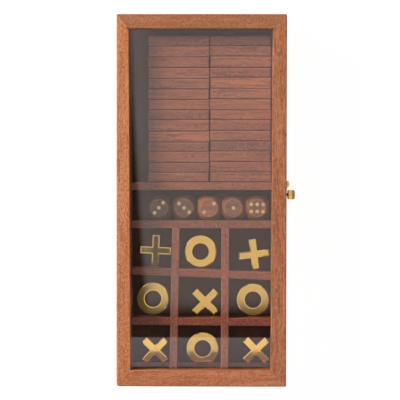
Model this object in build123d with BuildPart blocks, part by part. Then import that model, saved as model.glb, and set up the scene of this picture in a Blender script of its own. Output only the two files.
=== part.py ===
from build123d import *
from math import cos, radians, sin
import os

os.makedirs("parts", exist_ok=True)

# A games compendium box: a shallow hardwood case with a hinged, glazed lid, holding a set of
# dominoes, five dice and brass noughts and crosses. All sizes are in millimetres.
# The box lies on its back. +Z is up, out through the glass. +Y points to the domino end and
# +X to the latch side. The origin is the centre of the underside.

# ---- Case ----
box_length = 300.0
box_width = 137.0
box_height = 44.0
wall_thickness = 11.6
corner_radius = 1.2
worn_corner_radius = 2.6
arris_radius = 1.0
panel_thickness = 4.0
panel_rebate = 5.0
lining_thickness = 1.0
lining_short_at_near_end = 3.3
seam_height = 32.0
seam_gap = 0.3

# ---- Lid frame and glass: the rails are hand planed, so their two ends differ ----
rail_left_far = 9.9
rail_left_near = 11.4
rail_right_far = 11.1
rail_right_near = 12.5
rail_far = 11.7
rail_near = 13.2
inner_arris_radius = 0.5
open_mitre = "far_left"
mitre_gap_width = 1.5
mitre_gap_length = 2.6
glass_thickness = 2.0
glass_underside = 38.4
glass_in_groove = 2.6
groove_clearance = 0.2

# ---- Dividers: slats of one stock, let into each other by half laps ----
slat_thickness = 6.2
slat_height = 24.0
slat_arris_radius = 0.5
domino_divider_y = 11.6
dice_divider_y = -19.65
upper_slat_y = -59.6
upper_slat_turn = -2.2
lower_slat_y = -98.9
lower_slat_turn = -0.4
slat_grid_y = -80.0
left_slat_x = -21.95
left_slat_turn = -1.05
right_slat_x = 19.1
right_slat_turn = -0.2

# ---- Hinges: two brass butts whose barrels lie inside the back face ----
hinge_inset = 2.4
hinge_positions = {"near": -88.0, "far": 88.0}
hinge_length = 28.0
middle_knuckle = 9.6
knuckle_radius = 1.7
knuckle_gap = 0.3
pin_radius = 0.8
pin_running_clearance = 0.05
leaf_thickness = 1.0
leaf_reach = 6.6
back_bevel_in = 2.55
back_bevel_down = 3.1
barrel_pocket_radius = 2.1
screw_from_axis = 3.6
screw_spacing = 19.0
screw_shank_radius = 0.85
screw_head_radius = 1.7
screw_head_depth = 0.9
screw_slot_width = 0.4
screw_slot_depth = 0.35
screw_tip_length = 1.6
lid_screw_length = 5.6
base_screw_length = 8.0

# ---- Latch: a flat brass hook on the lid and a turned stud on the base ----
stud_y = 4.7
stud_z = 26.0
stud_neck_radius = 1.4
stud_neck_length = 1.35
stud_head_radius = 3.95
stud_head_length = 6.05
stud_end_rounding = 1.6
stud_shank_radius = 1.2
stud_shank_length = 8.0
pivot_y = 13.4
pivot_z = 37.6
pivot_head_radius = 2.9
pivot_head_height = 1.4
pivot_shoulder_radius = 1.4
pivot_shank_length = 7.0
hook_eye_clearance = 0.08
hook_standoff = 0.25
hook_thickness = 0.8
hook_length = 14.5
hook_throat_radius = 2.4
hook_rest_turn = 15.0

# ---- Game pieces ----
piece_clearance = 0.3
die_size = 19.0
# The corners are turned off on a sphere, which leaves a round flat on each side.
die_corner_radius = 12.0
die_pip_radius = 1.5
die_pip_diagonal = 3.8
die_six_row = 2.9
die_six_column = 4.8
pip_depth = 1.2
die_row_y = -6.3
# x of the centre, turn about the vertical, number on top
dice = {
    "die_1": (-35.0, 5.0, 3),
    "die_2": (-14.4, 95.0, 3),
    "die_3": (6.0, -4.0, 2),
    "die_4": (25.9, 0.0, 1),
    "die_5": (45.3, -1.0, 6),
}

cross_span = 25.4
cross_arm = 6.0
ring_radius = 13.4
ring_hole_radius = 6.75
token_thickness = 6.0
cross_bevel = 0.7
ring_outer_bevel = 0.6
ring_inner_bevel = 1.2
# x and y of the centre, turn about the vertical
crosses = {
    "cross_1": (-38.1, -41.8, -2.5),
    "cross_2": (43.0, -44.9, 7.0),
    "cross_3": (2.9, -84.3, 45.0),
    "cross_4": (-38.6, -124.5, 46.0),
    "cross_5": (45.0, -124.3, 44.0),
}
rings = {
    "ring_1": (-1.1, -42.7),
    "ring_2": (-40.3, -81.8),
    "ring_3": (42.3, -82.4),
    "ring_4": (0.8, -122.9),
}

domino_length = 49.0
domino_width = 24.6
domino_gap = 0.3
domino_arris_radius = 0.5
domino_pip_radius = 1.3
domino_pip_diagonal = 5.8
domino_pip_depth = 0.8
domino_groove_width = 0.8
domino_groove_depth = 0.4
first_domino_face_y = 133.3
domino_unevenness = 0.3
domino_columns = {"left": -18.8, "right": 31.4}
# The tiles are sawn by hand, so no two rows are equally thick. Far row first, gaps included.
domino_row_depths = {
    "left": (8.2, 8.8, 8.7, 8.7, 8.6, 8.5, 8.4, 7.9, 9.4, 8.8, 7.7, 8.9, 8.0, 7.7),
    "right": (7.8, 8.5, 9.1, 8.0, 9.0, 8.5, 9.1, 7.7, 8.8, 8.6, 8.2, 8.7, 8.3, 8.0),
}

# ---- Sizes worked out from these ----
half_width = box_width / 2
half_length = box_length / 2
cavity_width = box_width - 2 * wall_thickness
cavity_length = box_length - 2 * wall_thickness
floor_z = panel_thickness + lining_thickness
slat_top = floor_z + slat_height
lap_z = floor_z + slat_height / 2
base_top = seam_height - seam_gap / 2
lid_underside = seam_height + seam_gap / 2
hinge_axis_x = -half_width + hinge_inset
end_knuckle = (hinge_length - middle_knuckle - 2 * knuckle_gap) / 2
grid_far_y = dice_divider_y - slat_thickness / 2

outer_corners = {
    "far_left": (-half_width, half_length),
    "far_right": (half_width, half_length),
    "near_right": (half_width, -half_length),
    "near_left": (-half_width, -half_length),
}
cavity_corners = {
    "far_left": (-cavity_width / 2, cavity_length / 2),
    "far_right": (cavity_width / 2, cavity_length / 2),
    "near_right": (cavity_width / 2, -cavity_length / 2),
    "near_left": (-cavity_width / 2, -cavity_length / 2),
}
opening_corners = {
    "far_left": (-half_width + rail_left_far, half_length - rail_far),
    "far_right": (half_width - rail_right_far, half_length - rail_far),
    "near_right": (half_width - rail_right_near, -half_length + rail_near),
    "near_left": (-half_width + rail_left_near, -half_length + rail_near),
}
frame_sides = {
    "left": ("near_left", "far_left"),
    "far": ("far_left", "far_right"),
    "right": ("far_right", "near_right"),
    "near": ("near_right", "near_left"),
}


def write(part, name):
    """Label a finished piece and write it as its own STEP file."""
    part.label = name
    export_step(part, f"parts/{name}.step")


def mitred_outline(inner, first, last):
    """Plan outline that cuts one side out of a mitred frame, a little past its faces."""

    def on_mitre(corner, reach):
        (x0, y0), (x1, y1) = inner[corner], outer_corners[corner]
        return (x0 + reach * (x1 - x0), y0 + reach * (y1 - y0))

    return [on_mitre(first, 1.2), on_mitre(last, 1.2), on_mitre(last, -0.3), on_mitre(first, -0.3)]


def hinge_rod(start_y, length, radius, mode=Mode.ADD):
    """A round bar on the hinge axis: a knuckle, a pin, or the room that one needs."""
    with Locations((hinge_axis_x, start_y, seam_height)):
        Cylinder(
            radius,
            length,
            rotation=(-90, 0, 0),
            align=(Align.CENTER, Align.CENTER, Align.MIN),
            mode=mode,
        )


def cut_back_bevel(direction):
    """Bevel the hinge edge away from the axis; direction is +1 on the lid, -1 on the base."""
    seam_face = seam_height + direction * seam_gap / 2
    with BuildSketch(Plane.XZ) as bevel:
        with BuildLine():
            Polyline(
                (-half_width + back_bevel_in, seam_face),
                (-half_width, seam_face + direction * back_bevel_down),
                (-half_width - 2, seam_face + direction * (back_bevel_down + 2)),
                (-half_width - 2, seam_face - direction * 2),
                (-half_width + back_bevel_in, seam_face - direction * 2),
                close=True,
            )
        make_face()
    extrude(bevel.sketch, amount=half_length + 2, both=True, mode=Mode.SUBTRACT)


def cut_hinge_seats(direction, screw_length):
    """Let both hinges into a frame: leaf mortise, room for the barrel and screw holes."""
    seam_face = seam_height + direction * seam_gap / 2
    vertical = Align.MIN if direction > 0 else Align.MAX
    for hinge_y in hinge_positions.values():
        with Locations((hinge_axis_x + leaf_reach / 2, hinge_y, seam_face)):
            Box(
                leaf_reach,
                hinge_length,
                leaf_thickness,
                align=(Align.CENTER, Align.CENTER, vertical),
                mode=Mode.SUBTRACT,
            )
        room_start = hinge_y - hinge_length / 2 - knuckle_gap
        room_length = hinge_length + 2 * knuckle_gap
        hinge_rod(room_start, room_length, barrel_pocket_radius, Mode.SUBTRACT)
        for screw_y in (hinge_y - screw_spacing / 2, hinge_y + screw_spacing / 2):
            with Locations((hinge_axis_x + screw_from_axis, screw_y, seam_face)):
                Cylinder(
                    screw_shank_radius,
                    screw_length,
                    align=(Align.CENTER, Align.CENTER, vertical),
                    mode=Mode.SUBTRACT,
                )


def cut_side_hole(y, z, radius, depth):
    """Drill a hole into the latch side."""
    with Locations((half_width, y, z)):
        Cylinder(
            radius,
            depth,
            rotation=(0, 90, 0),
            align=(Align.CENTER, Align.CENTER, Align.MAX),
            mode=Mode.SUBTRACT,
        )


def pip_layout(value, diagonal, six_row, six_column):
    """Centres of the pips of one number, in the plane of their face."""
    centre = [(0.0, 0.0)]
    two = [(-diagonal, -diagonal), (diagonal, diagonal)]
    four = two + [(-diagonal, diagonal), (diagonal, -diagonal)]
    six = [(x, y) for x in (-six_column, 0.0, six_column) for y in (-six_row, six_row)]
    return {0: [], 1: centre, 2: two, 3: two + centre, 4: four, 5: four + centre, 6: six}[value]


# ---- Base: floor panel, lining and four mitred walls ----
# The lining was cut a little short, so a strip of the bare panel shows at the near end.
with BuildPart() as bottom_panel:
    with BuildSketch():
        Rectangle(cavity_width + 2 * panel_rebate, cavity_length + 2 * panel_rebate)
    extrude(amount=panel_thickness)
write(bottom_panel.part, "bottom_panel")

with BuildPart() as floor_lining:
    with BuildSketch(Plane.XY.offset(panel_thickness)):
        with Locations((0, lining_short_at_near_end / 2)):
            Rectangle(cavity_width, cavity_length - lining_short_at_near_end)
    extrude(amount=lining_thickness)
write(floor_lining.part, "floor_lining")

# The walls are shaped as one glued frame, then parted along the mitres.
with BuildPart() as base_frame:
    with BuildSketch():
        Rectangle(box_width, box_length)
    extrude(amount=base_top)
    fillet(base_frame.edges().filter_by(Axis.Z), corner_radius)
    fillet(base_frame.faces().sort_by(Axis.Z)[0].edges(), arris_radius)
    fillet(base_frame.faces().sort_by(Axis.Z)[-1].edges(), inner_arris_radius)
    with BuildSketch():
        Rectangle(cavity_width, cavity_length)
    extrude(amount=base_top, mode=Mode.SUBTRACT)
    with BuildSketch():
        Rectangle(cavity_width + 2 * panel_rebate, cavity_length + 2 * panel_rebate)
    extrude(amount=panel_thickness, mode=Mode.SUBTRACT)
    cut_back_bevel(-1)
    cut_hinge_seats(-1, base_screw_length)
    cut_side_hole(stud_y, stud_z, stud_shank_radius, stud_shank_length)

for side, (first, last) in frame_sides.items():
    with BuildPart() as wall:
        with BuildSketch():
            with BuildLine():
                Polyline(*mitred_outline(cavity_corners, first, last), close=True)
            make_face()
        extrude(amount=box_height)
        add(base_frame.part, mode=Mode.INTERSECT)
    write(wall.part, f"wall_{side}")

# ---- Dividers ----
divider_rows = {"domino_divider": domino_divider_y, "dice_divider": dice_divider_y}
for name, divider_y in divider_rows.items():
    with BuildPart() as divider:
        with BuildSketch(Plane.XY.offset(floor_z)):
            with Locations((0, divider_y)):
                Rectangle(cavity_width, slat_thickness)
        extrude(amount=slat_height)
        top_edges = divider.edges().group_by(Axis.Z)[-1]
        fillet(top_edges.filter_by(Axis.X), slat_arris_radius)
    write(divider.part, name)

cross_slats = {
    "grid_slat_upper": (upper_slat_y, upper_slat_turn),
    "grid_slat_lower": (lower_slat_y, lower_slat_turn),
}
long_slats = {
    "grid_slat_left": (left_slat_x, left_slat_turn),
    "grid_slat_right": (right_slat_x, right_slat_turn),
}


def long_slat_blank(x, turn, bottom_z, height):
    """A slat that runs along the box, from the dice divider to the near wall."""
    with BuildPart() as blank:
        with BuildSketch(Plane.XY.offset(bottom_z)):
            with Locations(Location((x, slat_grid_y, 0), (0, 0, turn))):
                Rectangle(slat_thickness, cavity_length)
            with Locations((0, (grid_far_y - cavity_length / 2) / 2)):
                Rectangle(cavity_width, grid_far_y + cavity_length / 2, mode=Mode.INTERSECT)
        extrude(amount=height)
    return blank.part


def cross_slat_blank(y, turn, bottom_z, height):
    """A slat that runs across the box, from wall to wall."""
    with BuildPart() as blank:
        with BuildSketch(Plane.XY.offset(bottom_z)):
            with Locations(Location((0, y, 0), (0, 0, turn))):
                Rectangle(cavity_width + 10, slat_thickness)
            Rectangle(cavity_width, cavity_length, mode=Mode.INTERSECT)
        extrude(amount=height)
    return blank.part


def is_long(edge):
    """True of a slat's running edges, and not of the short ones at its ends."""
    return edge.length > 4 * slat_thickness


# The slats across the box are notched from above, the long ones from below.
for name, (slat_y, turn) in cross_slats.items():
    with BuildPart() as slat:
        add(cross_slat_blank(slat_y, turn, floor_z, slat_height))
        fillet(slat.edges().group_by(Axis.Z)[-1].filter_by(is_long), slat_arris_radius)
        for slat_x, long_turn in long_slats.values():
            add(long_slat_blank(slat_x, long_turn, lap_z, slat_height), mode=Mode.SUBTRACT)
    write(slat.part, name)

for name, (slat_x, turn) in long_slats.items():
    with BuildPart() as slat:
        add(long_slat_blank(slat_x, turn, floor_z, slat_height))
        fillet(slat.edges().group_by(Axis.Z)[-1].filter_by(is_long), slat_arris_radius)
        for slat_y, cross_turn in cross_slats.values():
            add(cross_slat_blank(slat_y, cross_turn, 0, lap_z), mode=Mode.SUBTRACT)
    write(slat.part, name)

# ---- Lid: four mitred rails, grooved for the glass ----
glass_left = opening_corners["far_left"][0] - glass_in_groove
glass_right = opening_corners["far_right"][0] + glass_in_groove
glass_near = opening_corners["near_left"][1] - glass_in_groove
glass_far = opening_corners["far_left"][1] + glass_in_groove
glass_width = glass_right - glass_left
glass_length = glass_far - glass_near
glass_centre = ((glass_left + glass_right) / 2, (glass_near + glass_far) / 2)

with BuildPart() as lid_frame:
    with BuildSketch(Plane.XY.offset(lid_underside)):
        Rectangle(box_width, box_length)
    extrude(amount=box_height - lid_underside)
    uprights = lid_frame.edges().filter_by(Axis.Z).sort_by(lambda edge: edge.center().X + edge.center().Y)
    fillet(uprights[0], worn_corner_radius)
    fillet(uprights[1:], corner_radius)
    fillet(lid_frame.faces().sort_by(Axis.Z)[-1].edges(), arris_radius)
    fillet(lid_frame.faces().sort_by(Axis.Z)[0].edges(), inner_arris_radius)
    with BuildSketch(Plane.XY.offset(lid_underside)):
        with BuildLine():
            Polyline(*opening_corners.values(), close=True)
        make_face()
    extrude(amount=box_height, mode=Mode.SUBTRACT)
    with BuildSketch(Plane.XY.offset(glass_underside)):
        with Locations(glass_centre):
            Rectangle(glass_width + 2 * groove_clearance, glass_length + 2 * groove_clearance)
    extrude(amount=glass_thickness + groove_clearance, mode=Mode.SUBTRACT)
    # One mitre has opened a little at its inner end.
    inner_end = Vector(*opening_corners[open_mitre])
    mitre = (Vector(*outer_corners[open_mitre]) - inner_end).normalized()
    across = mitre.rotate(Axis.Z, 90) * (mitre_gap_width / 2)
    gap_mouth = inner_end - mitre
    with BuildSketch(Plane.XY.offset(lid_underside)):
        with BuildLine():
            gap_toe = inner_end + mitre * mitre_gap_length
            Polyline(gap_toe, gap_mouth + across, gap_mouth - across, close=True)
        make_face()
    extrude(amount=box_height, mode=Mode.SUBTRACT)
    cut_back_bevel(1)
    cut_hinge_seats(1, lid_screw_length)
    cut_side_hole(pivot_y, pivot_z, pivot_shoulder_radius, pivot_shank_length)

for side, (first, last) in frame_sides.items():
    with BuildPart() as rail:
        with BuildSketch():
            with BuildLine():
                Polyline(*mitred_outline(opening_corners, first, last), close=True)
            make_face()
        extrude(amount=box_height)
        add(lid_frame.part, mode=Mode.INTERSECT)
        top_edges = rail.faces().sort_by(Axis.Z)[-1].edges()
        fillet(top_edges.sort_by_distance((0, 0, box_height))[0], inner_arris_radius)
    write(rail.part, f"lid_rail_{side}")

with BuildPart() as lid_glass:
    with BuildSketch(Plane.XY.offset(glass_underside)):
        with Locations(glass_centre):
            Rectangle(glass_width, glass_length)
    extrude(amount=glass_thickness)
write(lid_glass.part, "lid_glass")

# ---- Hinges ----


def countersunk_screw(seat, length):
    """A slotted countersunk wood screw; seat is the plane of its head, facing outwards."""
    with BuildPart(seat) as screw:
        Cone(
            screw_shank_radius,
            screw_head_radius,
            screw_head_depth,
            align=(Align.CENTER, Align.CENTER, Align.MAX),
        )
        with Locations((0, 0, -screw_head_depth)):
            Cylinder(
                screw_shank_radius,
                length - screw_head_depth - screw_tip_length,
                align=(Align.CENTER, Align.CENTER, Align.MAX),
            )
        with Locations((0, 0, screw_tip_length - length)):
            Cone(
                screw_slot_depth,
                screw_shank_radius,
                screw_tip_length,
                align=(Align.CENTER, Align.CENTER, Align.MAX),
            )
        Box(
            2 * screw_head_radius,
            screw_slot_width,
            screw_slot_depth,
            align=(Align.CENTER, Align.CENTER, Align.MAX),
            mode=Mode.SUBTRACT,
        )
    return screw.part


def hinge_leaf(hinge_y, direction, own_knuckles, other_knuckles, bore_radius):
    """One leaf with its knuckles; direction is +1 for the lid's leaf, -1 for the base's."""
    seam_face = seam_height + direction * seam_gap / 2
    leaf_centre = (hinge_axis_x + leaf_reach / 2, hinge_y, seam_face)
    leaf_plane = Plane(leaf_centre, x_dir=(1, 0, 0), z_dir=(0, 0, -direction))
    with BuildPart() as leaf:
        with BuildSketch(leaf_plane) as plate:
            Rectangle(leaf_reach, hinge_length)
        extrude(plate.sketch, amount=-leaf_thickness)
        for start_y, length in other_knuckles:
            room = length + 2 * knuckle_gap
            hinge_rod(start_y - knuckle_gap, room, knuckle_radius + knuckle_gap, Mode.SUBTRACT)
        for start_y, length in own_knuckles:
            hinge_rod(start_y, length, knuckle_radius)
        hinge_rod(hinge_y - hinge_length / 2, hinge_length, bore_radius, Mode.SUBTRACT)
        screw_x = screw_from_axis - leaf_reach / 2
        with Locations(leaf_plane):
            with Locations((screw_x, -screw_spacing / 2), (screw_x, screw_spacing / 2)):
                Cone(
                    screw_shank_radius,
                    screw_head_radius,
                    screw_head_depth,
                    align=(Align.CENTER, Align.CENTER, Align.MAX),
                    mode=Mode.SUBTRACT,
                )
                Cylinder(
                    screw_shank_radius,
                    leaf_thickness,
                    align=(Align.CENTER, Align.CENTER, Align.MAX),
                    mode=Mode.SUBTRACT,
                )
    return leaf.part


for side, hinge_y in hinge_positions.items():
    hinge_start = hinge_y - hinge_length / 2
    end_knuckles = [
        (hinge_start, end_knuckle),
        (hinge_start + hinge_length - end_knuckle, end_knuckle),
    ]
    middle_knuckles = [(hinge_y - middle_knuckle / 2, middle_knuckle)]
    lid_bore = pin_radius + pin_running_clearance
    base_leaf = hinge_leaf(hinge_y, -1, end_knuckles, middle_knuckles, pin_radius)
    write(base_leaf, f"hinge_{side}_base_leaf")
    lid_leaf = hinge_leaf(hinge_y, 1, middle_knuckles, end_knuckles, lid_bore)
    write(lid_leaf, f"hinge_{side}_lid_leaf")
    with BuildPart() as hinge_pin:
        hinge_rod(hinge_start, hinge_length, pin_radius)
    write(hinge_pin.part, f"hinge_{side}_pin")

screw_groups = {
    "hinge_base_screws": (-1, base_screw_length),
    "hinge_lid_screws": (1, lid_screw_length),
}
for name, (direction, screw_length) in screw_groups.items():
    seam_face = seam_height + direction * seam_gap / 2
    with BuildPart() as screws:
        for hinge_y in hinge_positions.values():
            for screw_y in (hinge_y - screw_spacing / 2, hinge_y + screw_spacing / 2):
                seat_centre = (hinge_axis_x + screw_from_axis, screw_y, seam_face)
                add(countersunk_screw(Plane(seat_centre, z_dir=(0, 0, -direction)), screw_length))
    write(screws.part, name)

# ---- Latch ----
stud_profile_plane = Plane((half_width, stud_y, stud_z), x_dir=(1, 0, 0), z_dir=(0, -1, 0))
with BuildPart() as latch_stud:
    with BuildSketch(stud_profile_plane):
        with BuildLine():
            Polyline(
                (-stud_shank_length, 0),
                (-stud_shank_length, stud_shank_radius),
                (0, stud_shank_radius),
                (0, stud_neck_radius),
                (stud_neck_length, stud_neck_radius),
                (stud_neck_length, stud_head_radius),
                (stud_neck_length + stud_head_length, stud_head_radius),
                (stud_neck_length + stud_head_length, 0),
                close=True,
            )
        make_face()
    revolve(axis=Axis((half_width, stud_y, stud_z), (1, 0, 0)))
    head_edges = latch_stud.edges().filter_by(GeomType.CIRCLE).group_by(SortBy.RADIUS)[-1]
    fillet(head_edges.sort_by(Axis.X)[-1], stud_end_rounding)
    head_edges = latch_stud.edges().filter_by(GeomType.CIRCLE).group_by(SortBy.RADIUS)[-1]
    chamfer(head_edges.sort_by(Axis.X)[0], 0.5)
write(latch_stud.part, "latch_stud")

# The hook is drawn hanging straight down from its pivot, then turned to where it rests.
hook_inner_x = half_width + hook_standoff
hook_plane = Plane(
    (hook_inner_x, pivot_y, pivot_z),
    x_dir=(0, -cos(radians(hook_rest_turn)), sin(radians(hook_rest_turn))),
    z_dir=(-1, 0, 0),
)
lip_thickness = 1.8
throat_low = -hook_length - hook_throat_radius
throat_high = -hook_length + hook_throat_radius
hook_back = -hook_throat_radius - lip_thickness
with BuildPart() as latch_hook:
    with BuildSketch(hook_plane) as hook_outline:
        Circle(pivot_head_radius)
        with BuildLine():
            Polyline(
                (1.9, 0),
                (1.5, throat_high),
                (0.4, throat_high),
                (0, throat_high),
            )
            ThreePointArc((0, throat_high), (-hook_throat_radius, -hook_length), (0, throat_low))
            Line((0, throat_low), (1.6, throat_low))
            ThreePointArc(
                (1.6, throat_low),
                (2.0, throat_low - lip_thickness / 2),
                (1.2, throat_low - lip_thickness),
            )
            Line((1.2, throat_low - lip_thickness), (0, throat_low - lip_thickness))
            ThreePointArc(
                (0, throat_low - lip_thickness),
                (hook_back * 0.72, -hook_length + hook_back * 0.72),
                (hook_back, -hook_length),
            )
            Line((hook_back, -hook_length), (-1.9, 0))
            Line((-1.9, 0), (1.9, 0))
        make_face()
        Circle(pivot_shoulder_radius + hook_eye_clearance, mode=Mode.SUBTRACT)
    extrude(amount=-hook_thickness)
write(latch_hook.part, "latch_hook")

pivot_head_seat = hook_standoff + hook_thickness + 0.15
pivot_head_top = pivot_head_seat + pivot_head_height
pivot_dome_radius = (pivot_head_radius**2 + pivot_head_height**2) / (2 * pivot_head_height)
with BuildPart() as latch_pivot_screw:
    with BuildSketch(Plane((half_width, pivot_y, pivot_z), x_dir=(1, 0, 0), z_dir=(0, -1, 0))):
        with BuildLine():
            Polyline(
                (pivot_head_top, 0),
                (-pivot_shank_length, 0),
                (-pivot_shank_length, pivot_shoulder_radius),
                (pivot_head_seat, pivot_shoulder_radius),
                (pivot_head_seat, pivot_head_radius),
            )
            RadiusArc(
                (pivot_head_seat, pivot_head_radius),
                (pivot_head_top, 0),
                pivot_dome_radius,
            )
        make_face()
    revolve(axis=Axis((half_width, pivot_y, pivot_z), (1, 0, 0)))
    with Locations((half_width + pivot_head_top, pivot_y, pivot_z)):
        Box(1.0, screw_slot_width, 2 * pivot_head_radius, mode=Mode.SUBTRACT)
write(latch_pivot_screw.part, "latch_pivot_screw")

# ---- Dice: rounded hardwood cubes with inlaid brass pips ----
# The numbers on the front and on the right, for each number on top; opposite faces add to seven.
sides_for_top = {1: (2, 3), 2: (3, 1), 3: (1, 2), 6: (2, 4)}

for name, (die_x, turn, top) in dice.items():
    half = die_size / 2
    along = Vector(cos(radians(turn)), sin(radians(turn)), 0)
    across = Vector(-sin(radians(turn)), cos(radians(turn)), 0)
    up = Vector(0, 0, 1)
    centre = Vector(die_x, die_row_y, floor_z + half)
    front, right = sides_for_top[top]
    faces = [
        (up, along, top),
        (-up, along, 7 - top),
        (-across, along, front),
        (across, -along, 7 - front),
        (along, across, right),
        (-along, -across, 7 - right),
    ]
    with BuildPart(Plane(centre, x_dir=along, z_dir=up)) as blank:
        Box(die_size, die_size, die_size)
        Sphere(die_corner_radius, mode=Mode.INTERSECT)
    with BuildPart() as pips:
        for normal, face_x, value in faces:
            face = Plane(centre + normal * (half - pip_depth), x_dir=face_x, z_dir=normal)
            layout = pip_layout(value, die_pip_diagonal, die_six_row, die_six_column)
            with BuildSketch(face):
                with Locations(*layout):
                    Circle(die_pip_radius)
            extrude(amount=pip_depth)
        add(blank.part, mode=Mode.INTERSECT)
    with BuildPart() as die:
        add(blank.part)
        add(pips.part, mode=Mode.SUBTRACT)
    write(die.part, name)
    write(pips.part, f"{name}_pips")

# ---- Noughts and crosses: polished brass ----
for name, (cross_x, cross_y, turn) in crosses.items():
    seat = Plane(
        (cross_x, cross_y, floor_z),
        x_dir=(cos(radians(turn)), sin(radians(turn)), 0),
        z_dir=(0, 0, 1),
    )
    with BuildPart(seat) as cross:
        with BuildSketch(seat):
            Rectangle(cross_span, cross_arm)
            Rectangle(cross_arm, cross_span)
        extrude(amount=token_thickness)
        chamfer(cross.faces().sort_by(Axis.Z)[-1].edges(), cross_bevel)
        chamfer(cross.faces().sort_by(Axis.Z)[0].edges(), cross_bevel)
    write(cross.part, name)

for name, (ring_x, ring_y) in rings.items():
    seat = Plane((ring_x, ring_y, floor_z))
    with BuildPart(seat) as ring:
        with BuildSketch(seat):
            Circle(ring_radius)
            Circle(ring_hole_radius, mode=Mode.SUBTRACT)
        extrude(amount=token_thickness)
        rims = ring.edges().filter_by(GeomType.CIRCLE).group_by(SortBy.RADIUS)
        chamfer(rims[-1], ring_outer_bevel)
        chamfer(rims[0], ring_inner_bevel)
    write(ring.part, name)

# ---- Dominoes: a double-six set, standing on their long edges in two columns ----
domino_set = [(high, low) for high in range(6, -1, -1) for low in range(high, -1, -1)]
domino_middle_z = floor_z + domino_width / 2

for side, column_x in domino_columns.items():
    first_of_column = list(domino_columns).index(side)
    row_depths = domino_row_depths[side]
    tiles = []
    for row, row_depth in enumerate(row_depths):
        nudge = domino_unevenness * sin(2.3 * row + 4 * first_of_column)
        face_y = first_domino_face_y - sum(row_depths[:row])
        tiles.append((column_x + nudge, face_y, row_depth - domino_gap))
    with BuildPart() as column_pips:
        for (tile_x, face_y, _), numbers in zip(tiles, domino_set[first_of_column::2]):
            face = Plane(
                (tile_x, face_y - domino_pip_depth, domino_middle_z),
                x_dir=(-1, 0, 0),
                z_dir=(0, 1, 0),
            )
            centres = []
            for half_x, value in zip((-domino_length / 4, domino_length / 4), numbers):
                layout = pip_layout(value, domino_pip_diagonal, domino_pip_diagonal, domino_pip_diagonal)
                centres += [(half_x + pip_x, pip_y) for pip_x, pip_y in layout]
            if centres:
                with BuildSketch(face):
                    with Locations(*centres):
                        Circle(domino_pip_radius)
                extrude(amount=domino_pip_depth)
    with BuildPart() as column:
        for tile_x, face_y, thickness in tiles:
            with Locations((tile_x, face_y - thickness / 2, domino_middle_z)):
                Box(domino_length, thickness, domino_width)
        fillet(column.edges().filter_by(Axis.X), domino_arris_radius)
        for tile_x, face_y, thickness in tiles:
            with Locations((tile_x, face_y, domino_middle_z)):
                Box(
                    domino_groove_width,
                    domino_groove_depth,
                    domino_width - 2,
                    align=(Align.CENTER, Align.MAX, Align.CENTER),
                    mode=Mode.SUBTRACT,
                )
        add(column_pips.part, mode=Mode.SUBTRACT)
    write(column.part, f"dominoes_{side}")
    write(column_pips.part, f"dominoes_{side}_pips")
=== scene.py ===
# %% [markdown]
# # A games compendium box
#
# The object is a shallow hardwood case with a glazed, hinged lid. Under the glass lie a set of
# dominoes, five dice, and brass noughts and crosses in a grid of cells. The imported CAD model
# already has every part at its real size. This lesson dresses it: it gives each part a material,
# and it models again, by hand, the parts whose soft edges catch the light.

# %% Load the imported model
import math

import bpy
from mathutils import Matrix, Vector


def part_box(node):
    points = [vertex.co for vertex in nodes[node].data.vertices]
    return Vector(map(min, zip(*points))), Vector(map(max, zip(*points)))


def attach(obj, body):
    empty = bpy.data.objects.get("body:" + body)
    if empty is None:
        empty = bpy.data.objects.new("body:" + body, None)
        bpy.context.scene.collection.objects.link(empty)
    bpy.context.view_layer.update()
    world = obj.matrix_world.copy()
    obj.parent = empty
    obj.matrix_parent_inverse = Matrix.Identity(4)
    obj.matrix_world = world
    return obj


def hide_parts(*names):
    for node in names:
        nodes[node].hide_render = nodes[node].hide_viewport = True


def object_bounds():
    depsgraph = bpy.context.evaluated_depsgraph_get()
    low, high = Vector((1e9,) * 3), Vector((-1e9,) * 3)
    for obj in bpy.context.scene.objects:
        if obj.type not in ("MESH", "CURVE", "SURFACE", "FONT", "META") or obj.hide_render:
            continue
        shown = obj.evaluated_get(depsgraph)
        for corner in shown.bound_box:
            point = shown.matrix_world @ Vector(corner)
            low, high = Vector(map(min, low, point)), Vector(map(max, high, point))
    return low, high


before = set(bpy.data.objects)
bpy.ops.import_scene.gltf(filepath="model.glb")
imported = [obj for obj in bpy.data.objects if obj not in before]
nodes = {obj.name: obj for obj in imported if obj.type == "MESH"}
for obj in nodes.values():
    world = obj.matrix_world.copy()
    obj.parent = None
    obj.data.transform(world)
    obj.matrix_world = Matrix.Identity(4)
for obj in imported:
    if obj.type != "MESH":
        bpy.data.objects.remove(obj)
cad_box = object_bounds()
MM = 0.001
print("CAD box in mm:", [round(size / MM, 1) for size in cad_box[1] - cad_box[0]])

# %% [markdown]
# ## The camera
#
# The box is seen from straight above, as it lies on a table. A long lens from 1.3 m keeps the
# far and near ends the same size. The camera stands a little off the centre, so a sliver more
# of some inner walls shows. `to_track_quat` is unsure of itself when a camera looks straight
# down, so the three axes are worked out here one by one.

# %% Place the camera
camera_place = Vector((15, 30, 1344)) * MM
camera_target = Vector((0, 0, 44)) * MM
camera_roll = math.radians(0.082)

backward = (camera_place - camera_target).normalized()
sideways = Vector((0, 1, 0)).cross(backward).normalized()
upward = backward.cross(sideways)
turned_side = math.cos(camera_roll) * sideways + math.sin(camera_roll) * upward
turned_up = math.cos(camera_roll) * upward - math.sin(camera_roll) * sideways

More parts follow.
